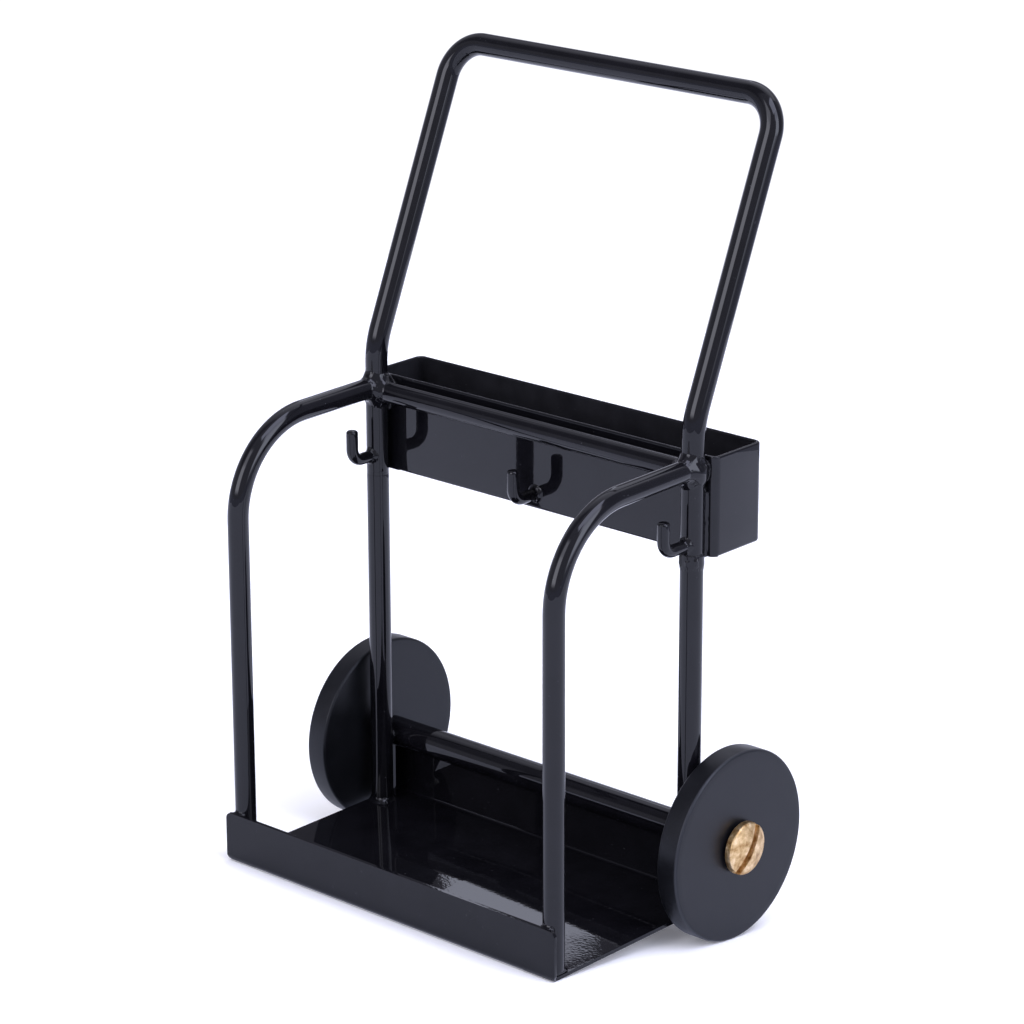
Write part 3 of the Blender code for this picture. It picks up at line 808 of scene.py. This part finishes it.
def make_screws():
    """Domed head with a slot, shoulder under the wheel, and the start of the thread."""
    crown, axis = HEAD_X + HEAD_T, 0.0001
    for side, s in (("left", -1), ("right", 1)):
        edge = HEAD_R - HEAD_ROUND
        outline = [(edge * k / 12, crown + HEAD_DOME * (1 - (k / 12) ** 2)) for k in range(12)]
        outline += arc(HEAD_R - HEAD_ROUND, crown - HEAD_ROUND, HEAD_ROUND, 90, 0, 7)
        outline += [(HEAD_R, HEAD_X + 0.1), (HEAD_R - 0.1, HEAD_X), (SHOULDER_R, HEAD_X),
                    (SHOULDER_R, AXLE_HALF_L + GAP), (THREAD_R, AXLE_HALF_L + GAP),
                    (THREAD_R, AXLE_HALF_L - 4.0), (0.0, AXLE_HALF_L - 4.0)]
        outline[0] = (axis, outline[0][1])
        outline[-1] = (axis, outline[-1][1])
        verts, faces = lathe(outline, s, 96)
        bm = bmesh.new()
        bv = [bm.verts.new(Vector(v) * MM) for v in verts]
        for f in faces:
            bm.faces.new([bv[i] for i in f])
        bmesh.ops.remove_doubles(bm, verts=bm.verts, dist=0.0000005)
        bmesh.ops.recalc_face_normals(bm, faces=bm.faces)
        mesh = bpy.data.meshes.new("axle_screw_body_" + side)
        bm.to_mesh(mesh)
        bm.free()
        mesh.materials.append(BRASS)
        obj = linked("axle_screw_body_" + side, mesh)
        tool = slot_tool("slot_tool_" + side, side, s)
        cut = obj.modifiers.new("slot", "BOOLEAN")
        cut.operation, cut.solver, cut.object = "DIFFERENCE", "EXACT", tool
        soft = obj.modifiers.new("soft", "BEVEL")
        soft.width, soft.segments = 0.12 * MM, 3
        soft.limit_method, soft.angle_limit = "ANGLE", math.radians(50)
        apply_modifiers(obj)
        bpy.data.objects.remove(tool, do_unlink=True)
        obj.data.transform(Matrix.Diagonal((1000.0, 1000.0, 1000.0, 1.0)))
        obj.data.transform(STANCE)
        obj.data.shade_smooth()
        obj.data.set_sharp_from_angle(angle=math.radians(40))
        bind(obj, "frame", ["axle_screw_" + side])


make_rods()
make_plate()
make_tray()
make_joints()
make_wheels()
make_screws()


# ---------------------------------------------------------------- floor, light, camera

def make_floor():
    """Pale floor, whiter as seen directly than in the cart's reflections."""
    mat, tree, shader = nodes_of("pale_floor")
    path = tree.nodes.new("ShaderNodeLightPath")
    seen = path.outputs["Is Camera Ray"]
    tree.links.new(mix(tree, seen, (0.70, 0.705, 0.74), (0.96, 0.96, 0.96)),
                   shader.inputs["Base Color"])
    tree.links.new(mix(tree, seen, (0.22, 0.24, 0.34), (0.11, 0.11, 0.12)),
                   shader.inputs["Emission Color"])
    shader.inputs["Roughness"].default_value = 0.9
    shader.inputs["Specular IOR Level"].default_value = 0.0
    shader.inputs["Emission Strength"].default_value = 1.0
    x0, x1, y0, y1 = -0.34, 0.36, -0.36, 0.34
    mesh = bpy.data.meshes.new("floor")
    mesh.from_pydata([(x0, y0, 0), (x1, y0, 0), (x1, y1, 0), (x0, y1, 0)], [], [(0, 1, 2, 3)])
    mesh.materials.append(mat)
    linked("floor", mesh)


class Sky:
    """World shader: white for the camera, a studio of softboxes for reflections."""

    def __init__(self):
        world = bpy.data.worlds.new("studio")
        bpy.context.scene.world = world
        world.use_nodes = True
        self.tree = world.node_tree
        self.tree.nodes.clear()
        geo = self.tree.nodes.new("ShaderNodeTexCoord")
        split = self.tree.nodes.new("ShaderNodeSeparateXYZ")
        self.tree.links.new(geo.outputs["Generated"], split.inputs[0])
        self.x, self.y, self.z = split.outputs
        self.total = None

    def math(self, op, a, b=None):
        node = self.tree.nodes.new("ShaderNodeMath")
        node.operation = op
        for value, socket in zip((a, b), node.inputs):
            if value is None:
                continue
            if isinstance(value, (int, float)):
                socket.default_value = value
            else:
                self.tree.links.new(value, socket)
        return node.outputs[0]

    def step(self, value, lo, hi):
        """Smooth 0 to 1 between lo and hi (lo may be above hi for a falling step)."""
        node = self.tree.nodes.new("ShaderNodeMapRange")
        node.interpolation_type = "SMOOTHSTEP"
        node.inputs["From Min"].default_value = lo
        node.inputs["From Max"].default_value = hi
        self.tree.links.new(value, node.inputs["Value"])
        return node.outputs[0]

    def angle(self, a, b):
        """Angle in degrees of (a, b), as atan2(a, b)."""
        return self.math("MULTIPLY", self.math("ARCTAN2", a, b), 180 / math.pi)

    def add(self, colour, *masks):
        """Add a light of the given colour where all the masks are 1."""
        value = masks[0]
        for m in masks[1:]:
            value = self.math("MULTIPLY", value, m)
        node = self.tree.nodes.new("ShaderNodeVectorMath")
        node.operation = "SCALE"
        node.inputs[0].default_value = colour
        self.tree.links.new(value, node.inputs["Scale"])
        if self.total is None:
            self.total = node.outputs[0]
        else:
            plus = self.tree.nodes.new("ShaderNodeVectorMath")
            plus.operation = "ADD"
            self.tree.links.new(self.total, plus.inputs[0])
            self.tree.links.new(node.outputs[0], plus.inputs[1])
            self.total = plus.outputs[0]

    def close(self):
        """Show plain white to the camera and the studio to every other ray."""
        nodes, links = self.tree.nodes, self.tree.links
        studio = nodes.new("ShaderNodeBackground")
        links.new(self.total, studio.inputs["Color"])
        white = nodes.new("ShaderNodeBackground")
        white.inputs["Color"].default_value = (1, 1, 1, 1)
        white.inputs["Strength"].default_value = 1.1
        path = nodes.new("ShaderNodeLightPath")
        pick = nodes.new("ShaderNodeMixShader")
        links.new(path.outputs["Is Camera Ray"], pick.inputs[0])
        links.new(studio.outputs[0], pick.inputs[1])
        links.new(white.outputs[0], pick.inputs[2])
        out = nodes.new("ShaderNodeOutputWorld")
        links.new(pick.outputs[0], out.inputs["Surface"])


def make_sky():
    sky = Sky()
    psi = sky.angle(sky.z, sky.y)        # about the x axis, from +y up over the top
    azim = sky.angle(sky.x, sky.y)       # from +y towards +x
    front = sky.angle(sky.x, sky.math("MULTIPLY", sky.y, -1.0))   # from -y towards +x
    elev = sky.math("MULTIPLY", sky.math("ARCSINE", sky.z), 180 / math.pi)
    high = sky.math("MAXIMUM", sky.z, 0.02)
    over_x, over_y = sky.math("DIVIDE", sky.x, high), sky.math("DIVIDE", sky.y, high)
    above = sky.step(elev, -2.0, 1.0)
    # dim room, darker high up at the left, behind on the right, and round the light that the
    # base plate mirrors
    lit = sky.math("SUBTRACT", 1.0, sky.math("MULTIPLY", sky.math(
        "MULTIPLY", sky.step(azim, -154, -143), sky.step(azim, -92, -112)),
        sky.step(elev, 18, 28)))
    sky.add((0.16, 0.16, 0.20), above)
    beside = sky.math("SUBTRACT", 1.0, sky.math("MULTIPLY", sky.math(
        "MULTIPLY", sky.step(azim, -62, -56), sky.step(azim, -30, -34)),
        sky.math("MULTIPLY", sky.step(elev, 25, 27), sky.step(elev, 36, 33))))
    sky.add((0.29, 0.29, 0.34), sky.step(sky.math("ABSOLUTE", sky.math("SUBTRACT", azim, 46.0)),
                                         12, 24), lit, beside, above)
    sky.add((0.12, 0.13, 0.18), sky.step(sky.math("ABSOLUTE", sky.math("SUBTRACT", azim, 46.0)),
                                         24, 12), above)
    # light below the horizon, white sweep behind
    sky.add((0.50, 0.52, 0.70), sky.step(elev, 1.0, -2.0))
    sky.add((0.62, 0.64, 0.80), sky.step(azim, -88, -78), sky.step(azim, 4, -6),
            sky.step(elev, 16, 8))
    # overhead box, with the end that the plate mirrors
    sky.add((0.72, 0.74, 0.86), sky.step(psi, 43, 46), sky.step(psi, 100, 62),
            sky.step(over_x, 0.36, 0.28), sky.step(over_x, -1.05, -0.55), above)
    sky.add((1.75, 1.82, 2.2), sky.step(psi, 37.5, 37.7), sky.step(psi, 56, 46),
            sky.step(azim, -42.36, -42.42), sky.step(azim, -46.1, -46.0), above)
    # tall box in front of the cart
    sky.add((3.6, 3.6, 4.0), sky.step(front, -24, -17), sky.step(front, 20, 13),
            sky.step(elev, 2, 9), sky.step(elev, 36, 28))
    sky.add((2.1, 2.1, 2.4), sky.step(front, -24, -15), sky.step(front, 22, 14),
            sky.step(elev, 28, 36), sky.step(elev, 52, 46))
    # tall box at the right, leaning over towards the front
    sky.add((3.5, 3.7, 4.4), sky.step(azim, 66, 71), sky.step(azim, 102, 96),
            sky.step(elev, -1, 12), sky.step(elev, 42, 36))
    sky.add((2.6, 2.7, 3.4), sky.step(azim, 66, 71), sky.step(azim, 112, 104),
            sky.step(elev, 36, 42), sky.step(elev, 58, 52))
    sky.add((2.9, 3.0, 3.9), sky.step(over_x, 0.14, 0.22), sky.step(over_x, 0.75, 0.66),
            sky.step(over_y, -0.5, -0.42), sky.step(over_y, 0.30, 0.22), above)
    sky.close()


def make_lights():
    """Soft light from above for the floor, kept out of the reflections."""
    data = bpy.data.lights.new("top_fill", "AREA")
    data.shape = "RECTANGLE"
    data.size, data.size_y = 1.6, 1.6
    data.energy = 5.6
    place = Vector((-0.1, 0.1, 1.1))
    obj = linked("top_fill", data)
    obj.location = place
    obj.rotation_euler = (-place).to_track_quat("-Z", "Y").to_euler()
    obj.visible_glossy = False


def make_camera():
    """Long lens at the front right, a little above the cart."""
    data = bpy.data.cameras.new("camera")
    data.lens = 135.56
    data.sensor_width = 36.0
    data.shift_x = 0.0030
    data.shift_y = 0.0
    data.clip_start = 0.01
    cam = linked("camera", data)
    forward = Vector((-0.63398513, 0.73697001, -0.2343887))
    up = Vector((-0.20961124, 0.12798296, 0.96937273))
    right = forward.cross(up).normalized()
    up = right.cross(forward).normalized()
    place = Vector((315.33129, -367.40881, 168.17016)) * MM
    basis = Matrix((right, up, -forward.normalized())).transposed().to_4x4()
    cam.matrix_world = Matrix.Translation(place) @ basis
    bpy.context.scene.camera = cam


make_floor()
make_sky()
make_lights()
make_camera()
bpy.context.scene.view_settings.view_transform = "Standard"
bpy.context.scene.view_settings.look = "None"
